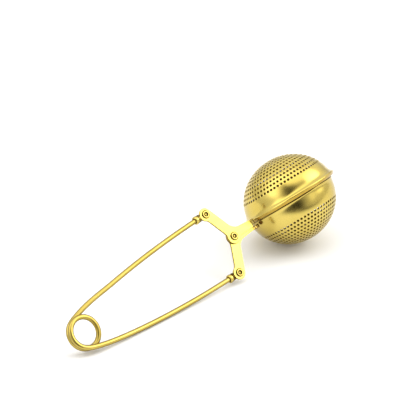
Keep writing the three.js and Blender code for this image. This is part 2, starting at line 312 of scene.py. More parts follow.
def gold(name, light, deep, rough, ring=None, line=None, bump=0.06, seed=0.0, inside=None,
         crevice=None, edge=None, band=None, painted_shade=None, rim=None):
    """Gold-coloured plated metal: slow colour drift, fine polishing marks, handling haze.
    light and deep are the drift's colours and rough the haze's range of roughness. Polishing
    marks follow ring (origin, axis) or line (axis). crevice is the reach in mm of the painted
    shade in crevices; edge and film are the colours of the painted shade on faces turned away
    from the n axis, such as sheared edges, and of the painted shade marked on the mesh. band
    adds painted shade or painted highlight across the piece; rim and inside add painted shade."""
    material = bpy.data.materials.new(name)
    material.use_nodes = True
    tree = material.node_tree
    tree.nodes.clear()
    shader = Shader(tree)
    point = shader.add("TexCoord").outputs["Object"]
    geometry = shader.add("NewGeometry")
    shifted = shader.vector("ADD", point, (seed, seed * 0.37, seed * 0.11))

    # slow drift of the plating's colour
    drift = shader.noise(scale=55.0, Detail=3.0, Vector=shifted)
    colour = shader.ramp(drift, (0.32, deep), (0.68, light))

    # handling haze: soft patches of duller finish
    haze = shader.noise(scale=130.0, Detail=5.0, Roughness=0.6, Vector=shifted)
    haze_rough = shader.map_range(haze, (0.3, 0.75), rough)

    # polishing marks
    if ring:
        marks = ring_marks(shader, point, *ring)
    elif line:
        marks = line_marks(shader, point, line)
    else:
        marks = shifted
    fine = shader.noise(scale=900.0, Detail=2.0, Vector=marks)
    fine_rough = shader.map_range(fine, (0.0, 1.0), (-0.04, 0.06))
    roughness = shader.math("ADD", haze_rough, fine_rough, clamp=True)

    # painted highlight on convex edges and painted shade in recesses, from the mesh's pointiness
    edge_light_recess_shade = shader.map_range(geometry.outputs["Pointiness"], (0.44, 0.58), (0.82, 1.06))
    colour = shader.scale(colour, edge_light_recess_shade)
    if edge:
        # painted shade: faces turned away from the n axis, such as a flat blank's sheared edges,
        # are darkened towards the edge colour
        facing = shader.vector("DOT_PRODUCT", geometry.outputs["True Normal"], N_AXIS)
        weight = shader.map_range(
            shader.add("Math", {0: facing}, operation="ABSOLUTE").outputs[0],
            (0.75, 0.35), (0.0, 0.92))
        colour = shader.mix(colour, edge, weight)
    # painted shade or painted highlight in a band across the piece
    if band:
        colour = shader.mix(colour, band.colour, light_band_weight(shader, point, haze, band))
    # painted shade where the surface turns away from the view
    if rim:
        facing = shader.add("LayerWeight", {"Blend": 0.5}).outputs["Facing"]
        weight = shader.map_range(facing, (rim.start, rim.full), (0.0, rim.weight), smooth=True)
        colour = shader.mix(colour, GRAZING_SHADE_COLOUR, weight)
    if painted_shade:
        # painted shade marked on the mesh itself
        marked = shader.add("Attribute", attribute_name="painted_shade")
        colour = shader.mix(colour, painted_shade, marked.outputs["Fac"])
    # painted shade in crevices, from ambient occlusion
    if crevice:
        occlusion = shader.add("AmbientOcclusion", {"Distance": crevice / 1000.0}, samples=6)
        weight = shader.map_range(occlusion.outputs["AO"], (0.25, 0.85), (0.9, 0.0))
        colour = shader.mix(colour, CREVICE_SHADE_COLOUR, weight)
    if inside:
        # painted shade on the inside of a shell: darker than the outside, and rougher
        within = inside_shade_weight(shader, point, inside)
        colour = shader.mix(colour, inside.colour, within)
        roughness = shader.math("MULTIPLY_ADD", within, 0.3, roughness, clamp=True)

    # gentle waves in the surface, with the polishing marks on top
    waves = shader.add("Bump", {
        "Strength": 0.10, "Distance": 0.00012,
        "Height": shader.noise(scale=240.0, Detail=1.0, Vector=shifted)})
    relief = shader.add("Bump", {
        "Strength": bump, "Distance": 0.00004, "Height": fine,
        "Normal": waves.outputs["Normal"]})
    metal = shader.add("BsdfPrincipled", {
        "Metallic": 1.0, "Base Color": colour, "Roughness": roughness,
        "Normal": relief.outputs["Normal"]})
    shader.add("OutputMaterial", {"Surface": metal.outputs["BSDF"]})
    return material


LIGHT_GOLD = srgb(222, 199, 106)
DEEP_GOLD = srgb(211, 186, 92)
SHELL_FINISH = dict(light=LIGHT_GOLD, deep=DEEP_GOLD, rough=(0.15, 0.25),
                    ring=(ball_centre, V_AXIS), bump=0.03)
# edge: painted shade on the levers' sheared edges
LEVER_FINISH = dict(light=srgb(218, 197, 100), deep=srgb(210, 189, 90), rough=(0.16, 0.28),
                    line=U_AXIS, edge=srgb(128, 104, 40))

# painted shade on the upper shell: darker inner face, a darker band on the curled skirt at the
# seam, and darker towards the outline
upper_shell_gold = gold(
    "upper_shell_gold", **SHELL_FINISH,
    inside=Inside(row_point(BALL_U + UPPER_SHIFT[0], UPPER_SHIFT[1], 0), V_AXIS, UPPER_BALL_R,
                  srgb(126, 96, 30)),
    band=LightBand(ball_centre, V_AXIS, rise=(-0.6, -0.3), fall=(1.15, 1.5),
              colour=srgb(182, 150, 62)),
    rim=GrazingShade(start=0.35, full=0.95, weight=0.3))
# painted shade on the lower shell: darker inner face, a band of painted shadow just under the
# upper shell's skirt, and darker towards the outline
lower_shell_gold = gold(
    "lower_shell_gold", **SHELL_FINISH, seed=0.31,
    inside=Inside(ball_centre, V_AXIS, LOWER_BALL_R, srgb(92, 66, 14)),
    band=LightBand(ball_centre, V_AXIS, rise=(-0.75, -0.45), fall=(0.6, 0.8),
              colour=srgb(70, 52, 16)),
    rim=GrazingShade(start=0.3, full=0.95, weight=0.4))
# upper lever: painted highlight on the foot past the neck, painted shade in crevices and marked
# along the neck, foot edges, tab and weld
upper_lever_gold = gold(
    "lever_gold", **LEVER_FINISH, seed=0.7, crevice=0.25,
    band=LightBand(PIVOT, U_AXIS, rise=(13.3, 13.9), fall=(26.0, 28.0), colour=srgb(255, 248, 178)),
    painted_shade=srgb(146, 118, 38))
# lower lever: painted highlight on the foot past the neck, painted shade in crevices and marked
# along the neck, foot edges and tab
lower_lever_gold = gold(
    "lower_lever_gold", **LEVER_FINISH, seed=1.9, crevice=0.6,
    band=LightBand(PIVOT, U_AXIS, rise=(13.0, 14.8), fall=(26.0, 28.0), colour=srgb(244, 208, 112)),
    painted_shade=srgb(134, 98, 34))
# painted shade on the rivets' side faces and in their grooves and bores
rivet_gold = gold(
    "rivet_gold", srgb(220, 198, 112), srgb(210, 188, 100), rough=(0.16, 0.26), seed=1.3,
    edge=srgb(150, 126, 52), painted_shade=srgb(96, 76, 20))
# painted shadow on the collar's front ring beside the lever's end, painted shade in crevices and
# towards the outline
fitting_gold = gold(
    "fitting_gold", LIGHT_GOLD, DEEP_GOLD, rough=(0.16, 0.26), seed=2.1, crevice=0.8,
    rim=GrazingShade(start=0.2, full=0.75, weight=0.6),
    band=LightBand(row_point(REAR_U, REAR_V, 0), U_AXIS, rise=(-5.1, -5.0), fall=(-3.3, -2.9),
              colour=srgb(78, 58, 16)))
# painted shade towards the wire's outline
wire_gold = gold(
    "wire_gold", srgb(208, 185, 98), srgb(192, 168, 80), rough=(0.24, 0.36), seed=3.1,
    rim=GrazingShade(start=0.12, full=0.66, weight=0.85))


def put(obj, material, slot, body, *cad_nodes):
    obj.data.materials.append(material)
    if cad_nodes:
        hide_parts(*cad_nodes)
    if body:
        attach(obj, body)
    return obj


# ------------------------------------------------------------------- shells
SKIRT_R = 27.4                    # widest part of the upper shell's curled rim
RIM_R, RIM_TOP = 26.2, 0.55       # the lower shell's flared rim
HOLE_R, HOLE_PITCH = 0.67, 2.08
HOLE_ROWS = 12
ROW_HALF = 0.86                   # half the width of the strip that holds a row of holes
LAST_ROW_TO_POLE = 2.15           # along the profile
POLE_STEPS = 240
# (radius, depth) down the wall of a hole, with its outer edge softened
HOLE_EDGE = [(HOLE_R + 0.05, 0.0), (HOLE_R + 0.01, 0.03), (HOLE_R, 0.08), (HOLE_R, WALL)]

# lip: (radius, height towards the pole) from the rim to the body. Above the lip the body
# swells, fading over a few mm from height swell_from to swell_to.
UPPER_SHELL = SimpleNamespace(
    name="upper_shell_perforated", side=1.0, radius=UPPER_BALL_R, shift=UPPER_SHIFT,
    # the rim is flared and then curled over the lower shell's rim
    lip=[(26.42, -0.34), (26.66, -0.1), (26.96, 0.32), (27.24, 0.72), (SKIRT_R - 0.03, 0.98),
         (SKIRT_R, 1.08), (SKIRT_R - 0.04, 1.18), (27.2, 1.5), (26.97, 1.78)],
    swell_from=1.98, swell_to=8.0, swell=0.98, fade=1.05, first_row_height=9.87)
LOWER_SHELL = SimpleNamespace(
    name="lower_shell_perforated", side=-1.0, radius=LOWER_BALL_R, shift=(0.0, 0.0),
    # a flared rim inside the curl, with a narrow waist behind it
    lip=[(RIM_R - 0.1, -RIM_TOP), (25.85, -0.25), (25.5, -0.02), (25.34, 0.22), (25.38, 0.46)],
    swell_from=0.72, swell_to=6.0, swell=0.52, fade=1.0, first_row_height=10.57)


def smooth_through(points, per):
    """a smooth curve through the points, per steps between each pair, without the last"""
    points = [np.array(p, float) for p in points]
    points = [2 * points[0] - points[1]] + points + [2 * points[-1] - points[-2]]
    out = []
    for i in range(1, len(points) - 2):
        p0, p1, p2, p3 = points[i - 1:i + 3]
        span = np.linalg.norm(p2 - p1)
        slope1 = (p2 - p0) / (span + np.linalg.norm(p1 - p0)) * span
        slope2 = (p3 - p1) / (np.linalg.norm(p3 - p2) + span) * span
        for k in range(per):
            t = k / per
            out.append((2 * t**3 - 3 * t**2 + 1) * p1 + (t**3 - 2 * t**2 + t) * slope1
                       + (-2 * t**3 + 3 * t**2) * p2 + (t**3 - t**2) * slope2)
    return out


def shell_profile(spec):
    """outer profile from the rim to the pole, as (radius, height towards the pole)"""
    start, end = spec.swell_from, spec.swell_to

    def body_point(y):
        ball = spec.radius * math.sqrt(max(0.0, 1 - (y / POLAR_R) ** 2))
        fading = math.exp(-(y - start) / spec.fade) * (1 - (y - start) / (end - start)) ** 2
        return ball + spec.swell * fading, y

    body = [body_point(y) for y in np.arange(start, end, 0.16)]
    points = smooth_through(spec.lip + body[:2], per=8) + [np.array(p) for p in body[1:]]
    first = math.asin(end / POLAR_R)
    for k in range(POLE_STEPS + 1):
        angle = first + (math.pi / 2 - first) * k / POLE_STEPS
        points.append(np.array([spec.radius * math.cos(angle), POLAR_R * math.sin(angle)]))
    return np.array(points)


class Curve:
    """a profile read by length along it, with its outward normals"""

    def __init__(self, points):
        self.points = points
        steps = np.linalg.norm(np.diff(points, axis=0), axis=1)
        self.lengths = np.concatenate([[0], np.cumsum(steps)])
        tangents = np.gradient(points, self.lengths, axis=0)
        tangents /= np.linalg.norm(tangents, axis=1)[:, None]
        self.normals = np.stack([tangents[:, 1], -tangents[:, 0]], 1)
        self.normals[-1] = (0.0, 1.0)
        self.total = self.lengths[-1]

    def at(self, length, depth=0.0):
        radius, height, normal_r, normal_y = (
            np.interp(length, self.lengths, values)
            for values in (*self.points.T, *self.normals.T))
        norm = math.hypot(normal_r, normal_y)
        return radius - depth * normal_r / norm, height - depth * normal_y / norm

    def length_at_height(self, height):
        return float(np.interp(height, self.points[:, 1], self.lengths))


class ShellMesh:
    """vertices and faces of one shell, placed by azimuth round the ball, length along the
    profile and depth below the outer face"""

    def __init__(self, spec):
        self.spec = spec
        self.curve = Curve(shell_profile(spec))
        self.verts, self.faces = [], []

    def place(self, azimuth, radius, height):
        shift_u, shift_v = self.spec.shift
        self.verts.append((BALL_U + shift_u + radius * math.cos(azimuth),
                           self.spec.side * height + shift_v,
                           radius * math.sin(azimuth)))
        return len(self.verts) - 1

    def vert(self, azimuth, length, depth):
        return self.place(azimuth, *self.curve.at(length, depth))

    def ring(self, length, depth, count, phase):
        return [self.vert(phase + 2 * math.pi * i / count, length, depth)
                for i in range(count)]

    def join(self, first, second):
        join_rings(self.faces, first, second)

    def stitch(self, first, first_phase, second, second_phase):
        """triangles between two closed rings with different counts"""
        first_n, second_n = len(first), len(second)
        turn = 2 * math.pi
        # start the second ring at the vertex nearest to the first ring's start
        start = round((first_phase - second_phase) / turn * second_n)
        i = j = 0
        while i < first_n or j < second_n:
            first_next = first_phase + turn * (i + 1) / first_n
            second_next = second_phase + turn * (start + j + 1) / second_n
            a, b = first[i % first_n], second[(start + j) % second_n]
            if j >= second_n or (i < first_n and first_next <= second_next):
                self.faces.append((a, first[(i + 1) % first_n], b))
                i += 1
            else:
                self.faces.append((a, second[(start + j + 1) % second_n], b))
                j += 1

    def plain_band(self, end, count, phase):
        """the band without holes, from the rim to length end; returns its outer and inner
        rings there"""
        stations = []
        length = 0.0
        while length < end - 0.5:
            stations.append(length)
            length += 0.14 if length < 4.6 else (0.5 if length < 6.4 else 0.8)
        stations.append(end)
        outer = [self.ring(length, 0.0, count, phase) for length in stations]
        inner = [self.ring(length, WALL, count, phase) for length in stations]
        for first, second in zip(outer[:-1], outer[1:]):
            self.join(first, second)
        for first, second in zip(inner[:-1], inner[1:]):
            self.join(second, first)
        self.rim_edge(outer[0], inner[0], count, phase)
        return outer[-1], inner[-1]

    def rim_edge(self, outer, inner, count, phase):
        """the rounded edge between the outer and inner faces at the rim"""
        radius, height = self.curve.at(0.0)
        normal = self.curve.normals[0]
        outward = self.curve.points[0] - self.curve.points[1]
        outward /= math.hypot(*outward)
        last = outer
        for k in range(1, 6):
            angle = math.pi * k / 6
            depth = WALL / 2 * (1 - math.cos(angle))
            reach = WALL / 2 * math.sin(angle) * 0.8
            edge_r = radius - normal[0] * depth + outward[0] * reach
            edge_y = height - normal[1] * depth + outward[1] * reach
            ids = [self.place(phase + 2 * math.pi * i / count, edge_r, edge_y)
                   for i in range(count)]
            self.join(ids, last)
            last = ids
        self.join(last, inner)

    def hole_row(self, length, count, phase, rim_side):
        """a strip with a row of holes above its outer and inner rim_side rings; returns the
        rings on its pole side"""
        depths = (0.0, WALL)
        size = 4 * count
        pole_side = [self.ring(length + ROW_HALF, depth, size, phase) for depth in depths]
        middles = [[self.vert(phase + 2 * math.pi * (j + 0.5) / count, length, depth)
                    for j in range(count)] for depth in depths]
        radius_here = self.curve.at(length)[0]
        for j in range(count):
            azimuth = phase + 2 * math.pi * j / count
            # twelve vertices of the cell round the hole, on the outer and inner faces
            outer_cell, inner_cell = (
                [middle[j]] + [top[(4 * j + i) % size] for i in (2, 1, 0, -1, -2)]
                + [middle[(j - 1) % count]]
                + [bottom[(4 * j + i) % size] for i in (-2, -1, 0, 1, 2)]
                for middle, top, bottom in zip(middles, pole_side, rim_side))
            chain = [outer_cell]
            for radius, depth in HOLE_EDGE:
                angles = [math.pi * i / 6 for i in range(12)]
                chain.append([self.vert(azimuth + radius * math.cos(a) / radius_here,
                                        length + radius * math.sin(a), depth) for a in angles])
            chain.append(inner_cell)
            for first, second in zip(chain[:-1], chain[1:]):
                self.join(first, second)
        return pole_side

    def pole_hole(self, outer, inner, phase):
        """a last hole on the ball's axis"""
        last = outer
        for radius, depth in HOLE_EDGE:
            ids = self.ring(self.curve.total - radius, depth, len(outer), phase)
            self.join(last, ids)
            last = ids
        self.join(last, inner)


def hole_rows(curve, first_height):
    """(length along the profile, count, phase) of each row of holes"""
    first = curve.length_at_height(first_height)
    last = curve.total - LAST_ROW_TO_POLE
    # the direction from the ball to the camera, so that the holes stagger evenly there
    to_camera = CAMERA_POS - np.array([BALL_U, 0, 0])
    facing = math.atan2(to_camera[2], to_camera[0])
    stations = []
    for k in range(HOLE_ROWS):
        length = first + (last - first) * k / (HOLE_ROWS - 1)
        radius, _ = curve.at(length)
        count = max(6, int(round(2 * math.pi * radius / HOLE_PITCH)))
        stations.append((length, count, facing + (k % 2) * math.pi / count))
    return stations


def perforated_shell(spec):
    shell = ShellMesh(spec)
    stations = hole_rows(shell.curve, spec.first_row_height)
    length, count, phase = stations[0]
    rings = shell.plain_band(length - ROW_HALF, 4 * count, phase)
    last_phase = phase
    for k, (length, count, phase) in enumerate(stations):
        if k > 0:
            below = rings
            rings = [shell.ring(length - ROW_HALF, depth, 4 * count, phase)
                     for depth in (0.0, WALL)]
            for first, second in zip(below, rings):
                shell.stitch(first, last_phase, second, phase)
        rings = shell.hole_row(length, count, phase, rings)
        last_phase = phase
    shell.pole_hole(*rings, last_phase)
    return new_mesh(spec.name, shell.verts, shell.faces, sharp_angle=50)


put(perforated_shell(UPPER_SHELL), upper_shell_gold, "shell_metal", "upper_jaw", "upper_shell")
put(perforated_shell(LOWER_SHELL), lower_shell_gold, "shell_metal", "lower_jaw", "lower_shell")

# ------------------------------------------------------------------- levers
HUB_R = 3.9                       # round the centre rivet
REAR_R = 3.5                      # round the rear rivet
PIVOT_HOLE_R, REAR_HOLE_R = 1.5, 1.0
STEM_LOW = -1.5                   # the stem's edge on the side away from the rear arm
NECK_U = 13.4                     # where the stem steps to the narrower foot
LEVER_BEVEL = 0.16
REAR_LENGTH = math.hypot(REAR_U, REAR_V)
REAR_ALONG = np.array([REAR_U, REAR_V]) / REAR_LENGTH
REAR_ACROSS = np.array([REAR_V, -REAR_U]) / REAR_LENGTH

# foot: its edges across the handle. shoulder: control point, end and steps of the curve from
# the foot to the stem. fillet: drop below the foot's edge and end in u of the corner on the
# other side. bends: (start, end, degrees) along the blank, a joggle out of the stem and then
# down into the welded tab.
UPPER_LEVER = SimpleNamespace(
    name="upper_lever_plate", side=1, plate_low=UPPER_PLATE_LOW, end=17.4, foot=(-0.4, 2.6),
    shoulder=((13.45, 2.62), (12.9, 2.72), 4), fillet=(0.35, 13.75),
    bends=[(13.45, 13.65, -66.0), (13.8, 14.0, 66.0), (15.6, 16.15, -84.0)])
LOWER_LEVER = SimpleNamespace(
    name="lower_lever_plate", side=-1, plate_low=LOWER_PLATE_LOW, end=19.0, foot=(1.3, 3.15),
    shoulder=((13.3, 3.15), (12.7, 2.95), 5), fillet=(0.5, 13.9),
    bends=[(13.9, 14.3, 24.0), (15.0, 15.4, -24.0), (17.1, 17.7, -84.0)])


def rear_arm(along, across):
    """a point by its place along and across the arm to the rear rivet"""
    return REAR_ALONG * along + REAR_ACROSS * across


def lever_outline(spec):
    """closed outline of the flat blank, with its neck and tab laid out flat"""
    points = []

    def line(point):
        points.append(np.array(point, float))

    def curve(control, end, steps):
        start = points[-1]
        control, end = np.array(control, float), np.array(end, float)
        for k in range(1, steps + 1):
            t = k / steps
            points.append((1 - t) ** 2 * start + 2 * (1 - t) * t * control + t * t * end)

    def arc(centre, radius, start, end, steps):
        for k in range(steps + 1):
            angle = math.radians(start + (end - start) * k / steps)
            points.append(np.array([centre[0] + radius * math.cos(angle),
                                    centre[1] + radius * math.sin(angle)]))

    foot_low, foot_high = spec.foot
    fillet_drop, fillet_end = spec.fillet
    # foot and stem, towards the rear
    line((spec.end, foot_low))
    line((spec.end, foot_high))
    line((13.75, foot_high))
    curve(*spec.shoulder)
    line((5.6, 3.4))
    # out along the rear arm, round its end and back
    curve((1.9, 3.75), rear_arm(6.8, 3.5), 12)
    tilt = math.degrees(math.atan2(REAR_ACROSS[1], REAR_ACROSS[0]))
    arc((REAR_U, REAR_V), REAR_R, tilt, 240, 30)
    curve(rear_arm(16.1, -2.1), rear_arm(14.2, -2.1), 8)
    line(rear_arm(5.4, -2.1))
    hub_start = math.radians(162)
    curve(rear_arm(3.5, -2.1), (HUB_R * math.cos(hub_start), HUB_R * math.sin(hub_start)), 8)
    # round the hub and back along the stem to the foot
    arc((0, 0), HUB_R, 168, 320, 26)
    curve((3.9, -1.75), (5.4, STEM_LOW), 8)
    line((12.8, STEM_LOW))
    curve((NECK_U, STEM_LOW), (NECK_U, -0.9), 5)
    line((NECK_U, foot_low - fillet_drop))
    curve((NECK_U, foot_low), (fillet_end, foot_low), 4)
    outline = np.array(points)
    outline[:, 1] *= spec.side
    return outline


def lever_blank(spec):
    """mesh of the flat blank with its holes and bevelled edges, about its middle plane"""
    blank = bpy.data.curves.new(spec.name, "CURVE")
    blank.dimensions = "2D"
    blank.fill_mode = "BOTH"
    blank.extrude = PLATE / 2 - LEVER_BEVEL
    blank.bevel_depth = LEVER_BEVEL
    blank.bevel_resolution = 3
    blank.offset = -LEVER_BEVEL
    outlines = [lever_outline(spec)]
    angles = np.linspace(0, 2 * math.pi, 40, endpoint=False)
    for x, y, radius in ((0, 0, PIVOT_HOLE_R), (REAR_U, spec.side * REAR_V, REAR_HOLE_R)):
        outlines.append(np.stack([x + radius * np.cos(angles), y + radius * np.sin(angles)], 1))
    for outline in outlines:
        spline = blank.splines.new("POLY")
        spline.points.add(len(outline) - 1)
        for i, (x, y) in enumerate(outline):
            spline.points[i].co = (x, y, 0, 1)
        spline.use_cyclic_u = True
    holder = bpy.data.objects.new(spec.name + "_c", blank)
    bpy.context.scene.collection.objects.link(holder)
    depsgraph = bpy.context.evaluated_depsgraph_get()
    depsgraph.update()
    mesh = bpy.data.meshes.new_from_object(holder.evaluated_get(depsgraph))
    bpy.data.objects.remove(holder)
    return mesh


def cut_across(bm, place, normal):
    geometry = list(bm.verts) + list(bm.edges) + list(bm.faces)
    bmesh.ops.bisect_plane(bm, geom=geometry, plane_co=place, plane_no=normal, dist=1e-5)


def lever_foot_shade(x, y, foot_low, foot_high, tab_start):
    """how much painted shade a place on the flat blank takes: at the neck's bend, along the
    foot's edges and on the tab
    """
    if x <= NECK_U:
        return 0.0
    at_neck = 0.8 if x < 13.65 else 0.0
    at_edge = 1.0 if min(y - foot_low, foot_high - y) < 0.25 else 0.0
    at_tab = min(1.0, max(0.0, (x - tab_start + 0.25) / 0.3))
    return max(at_neck, at_edge, at_tab)


def follow_bends(bends, x):
    """where the blank's middle plane at length x comes to lie: length, height and angle"""
    out_x, out_z, angle = bends[0][0], 0.0, 0.0
    done = bends[0][0]
    steps = 12
    for start, end, degrees in bends:
        if x <= start:
            break
        out_x += math.cos(angle) * (start - done)
        out_z += math.sin(angle) * (start - done)
        part = min(x, end) - start
        turn = math.radians(degrees) * part / (end - start)
        for _ in range(steps):
            angle += turn / steps / 2
            out_x += math.cos(angle) * part / steps
            out_z += math.sin(angle) * part / steps
            angle += turn / steps / 2
        done = min(x, end)
    out_x += math.cos(angle) * (x - done)
    out_z += math.sin(angle) * (x - done)
    return out_x, out_z, angle


def lever_piece(spec):
    mesh = lever_blank(spec)
    bm = bmesh.new()
    bm.from_mesh(mesh)
    bmesh.ops.remove_doubles(bm, verts=bm.verts, dist=1e-4)
    # cut lines for the bends of the neck and tab
    for x in np.arange(13.2, 20.6, 0.14):
        cut_across(bm, (x, 0, 0), (1, 0, 0))
    # cut lines beside the foot's edges, where a band of painted shade lies
    foot_low, foot_high = sorted(spec.side * y for y in spec.foot)
    for y in (foot_low + 0.2, foot_low + 0.4, foot_high - 0.4, foot_high - 0.2):
        cut_across(bm, (0, y, 0), (0, 1, 0))
    tab_start = spec.bends[-1][0]
    # painted shade along the neck's bend, the foot's edges and the tab
    foot_shade = [lever_foot_shade(v.co.x, v.co.y, foot_low, foot_high, tab_start) for v in bm.verts]
    # the plate is left flat round the holes; bends are a chain of arcs
    for v in bm.verts:
        x, y, z = v.co
        if x > spec.bends[0][0]:
            out_x, out_z, angle = follow_bends(spec.bends, x)
            thin = 1.0 if x < 14.5 else 0.8
            v.co = (out_x - math.sin(angle) * z * thin, y, out_z + math.cos(angle) * z * thin)
        v.co.z += spec.plate_low + PLATE / 2
    for v, place in zip(bm.verts, to_row_frame([v.co[:] for v in bm.verts])):
        v.co = place
    bmesh.ops.recalc_face_normals(bm, faces=bm.faces)
    bm.to_mesh(mesh)
    bm.free()
    mesh.name = spec.name
    set_painted_shade(mesh, foot_shade)
    return finish_mesh(spec.name, mesh, sharp_angle=40)


put(lever_piece(UPPER_LEVER), upper_lever_gold, "lever_metal", "upper_jaw", "upper_lever")
put(lever_piece(LOWER_LEVER), lower_lever_gold, "lever_metal", "lower_jaw", "lower_lever")

# ------------------------------------------------------------------- rivets
PIVOT_SHANK_R, REAR_SHANK_R = 1.42, 0.93


def rivet_piece(name, u, v, stack_low, stack_top, shank):
    """a rivet along n through a stack of plates, with a domed head below and a rolled head
    above that has a ring groove and a bore with a small dome in it"""
    top, bottom = stack_top + 0.02, stack_low - 0.02
    # radius, height, corner radius
    profile = [
        (0.0, bottom - 0.62), (1.1, bottom - 0.58), (1.75, bottom - 0.36, 0.3),
        (2.05, bottom, 0.1), (shank, bottom), (shank, top), (2.32, top, 0.02),
        (2.3, top + 0.16, 0.06), (2.22, top + 0.2, 0.03), (2.16, top + 0.04, 0.02),
        (1.84, top + 0.03, 0.02), (1.82, top + 0.3, 0.04), (1.74, top + 0.56, 0.14),
        (1.3, top + 0.58, 0.14), (1.16, top + 0.3, 0.05), (1.13, top - 0.2, 0.05),
        (0.56, top - 0.24, 0.04), (0.5, top + 0.02, 0.06), (0.3, top + 0.22, 0.1),
        (0.0, top + 0.26),
    ]
    verts, faces = lathe(rounded(profile, steps=5), 56, (u, v, 0), "n")
    obj = new_mesh(name, verts, faces, sharp_angle=50)

    # painted shade in the ring groove and in the bore
    def painted_shade_at(radius, height):
        if height < stack_top - 0.1 and radius > 1.2:
            return 0.0
        in_groove = 1.8 < radius < 2.18 and height < top + 0.2
        in_bore = 0.52 < radius < 1.2 and height < top + 0.34
        return 0.95 if in_groove or in_bore else 0.0

    centre = row_point(u, v, 0)
    painted_shade = []
    for vertex in obj.data.vertices:
        offset = vertex.co - centre
        height = offset.dot(N_AXIS)
        painted_shade.append(painted_shade_at((offset - N_AXIS * height).length * 1000.0, height * 1000.0))
    set_painted_shade(obj.data, painted_shade)
    return obj


put(rivet_piece("pivot_rivet_rolled", 0, 0, LOWER_PLATE_LOW, UPPER_PLATE_TOP, PIVOT_SHANK_R),
    rivet_gold, "rivet_metal", "pivot", "pivot_rivet")
put(rivet_piece("upper_rivet_rolled", REAR_U, REAR_V, UPPER_EYE_TOP - PLATE, UPPER_PLATE_TOP,
                REAR_SHANK_R), rivet_gold, "rivet_metal", "upper_jaw", "upper_rivet")
put(rivet_piece("lower_rivet_rolled", REAR_U, -REAR_V, LOWER_EYE_TOP - PLATE, LOWER_PLATE_TOP,
                REAR_SHANK_R), rivet_gold, "rivet_metal", "lower_jaw", "lower_rivet")


def weld_piece():
    """the weld between the upper lever's tab and the lip, a short bead along the handle"""
    profile = [(0.0, 15.8), (0.6, 15.9, 0.2), (0.6, 17.4, 0.2), (0.0, 17.5)]
    verts, faces = lathe(rounded(profile, steps=4), 24, (0, 1.5, -0.45), "u")
    obj = new_mesh("upper_lever_weld", verts, faces, sharp_angle=50)
    # painted shade, a little, over the whole bead in its corner
    set_painted_shade(obj.data, [0.3] * len(obj.data.vertices))
    return obj


put(weld_piece(), upper_lever_gold, "lever_metal", "upper_jaw")

# ------------------------------------------------------------- end fittings
EYE_R, EYE_HOLE_R = 3.05, 1.02
EYE_SHOULDER = 1.75               # half width where the eye runs into its shoulder
EYE_BEVEL = 0.14
# the collar round the wire's end: radius, place along u from the eye, corner radius
COLLAR = [
    (0.0, -3.4), (1.7, -3.4, 0.12), (2.02, -3.55, 0.12), (2.05, -4.85, 0.1),
    (1.92, -4.93, 0.05), (1.92, -5.03, 0.05), (2.12, -5.15, 0.12), (2.2, -5.8, 0.3),
    (2.12, -6.6, 0.14), (1.9, -6.8, 0.15), (1.52, -6.8, 0.12), (1.4, -6.5, 0.05),
    (1.4, -5.4), (0.0, -5.4),
]


def eye_levels():
    """(outline, height) of the rings round the eye's section, from its lower face up the
    outside, over the upper face and down the hole"""
    outline = []
    start = math.asin(EYE_SHOULDER / EYE_R)
    for k in range(45):
        angle = -math.pi + start + (2 * math.pi - 2 * start) * k / 44
        outline.append((EYE_R * math.cos(angle), EYE_R * math.sin(angle)))
    # the shoulder that runs into the collar
    outline += [(-3.3, 1.62), (-4.3, 1.55), (-4.3, -1.55), (-3.3, -1.62)]
    outline = np.array(outline)
    angles = np.unwrap(np.arctan2(outline[:, 1], outline[:, 0]))
    hole = np.stack([EYE_HOLE_R * np.cos(angles), EYE_HOLE_R * np.sin(angles)], 1)

    def inset(distance):
        return outline * (1 - distance / np.linalg.norm(outline, axis=1)[:, None])

    face, corner = inset(EYE_BEVEL), inset(EYE_BEVEL * 0.3)
    return [(face, -0.5), (corner, -0.5 + EYE_BEVEL * 0.3), (outline, -0.5 + EYE_BEVEL),
            (outline, 0.5 - EYE_BEVEL), (corner, 0.5 - EYE_BEVEL * 0.3), (face, 0.5),
            (hole, 0.5), (hole, -0.5)]


def fitting_piece(name, side, eye_top):
    middle = eye_top - PLATE / 2
    centre_v = side * REAR_V
    verts, faces = lathe(rounded(COLLAR, steps=4), 48, (REAR_U, centre_v, middle), "u")
    verts = [tuple(v) for v in verts]
    rings = []
    for outline, height in eye_levels():
        rings.append(range(len(verts), len(verts) + len(outline)))
        verts += [(REAR_U + x, centre_v + y, middle + height * PLATE) for x, y in outline]
    for first, second in zip(rings, rings[1:] + rings[:1]):
        join_rings(faces, first, second)
    return new_mesh(name, verts, faces, sharp_angle=42)


put(fitting_piece("upper_wire_end_collar", 1, UPPER_EYE_TOP), fitting_gold,
    "fitting_metal", "upper_arm", "upper_end_fitting")
put(fitting_piece("lower_wire_end_collar", -1, LOWER_EYE_TOP), fitting_gold,
    "fitting_metal", "lower_arm", "lower_end_fitting")

# -------------------------------------------------------------- spring wire
COIL_U = -(PIVOT - COIL).length * 1000.0
WIRE_R, WIRE_SIDES = 1.27, 28
COIL_R, COIL_PITCH = 7.02, 2.7
COIL_OVAL, COIL_LIFT = 1.06, 0.35  # the coil's stretch and shift in v
ARM_CONTROL_1, ARM_CONTROL_2 = (-55.7, 16.12), (-91.19, 10.83)
ARM_START_U = REAR_U - 5.5
ARM_STEPS, COIL_STEPS = 170, 240
WIRE_STATIONS, WIRE_SMOOTHING = 620, 12

# angle at which each arm meets the coil, so that it runs on from the arm's control point
control_u, control_v = ARM_CONTROL_2[0] - COIL_U, ARM_CONTROL_2[1]
COIL_TOUCH = (math.atan2(control_v, control_u)
              + math.acos(COIL_R / math.hypot(control_u, control_v)))
COIL_RISE = COIL_PITCH * (2 * math.pi - COIL_TOUCH) / (2 * math.pi)


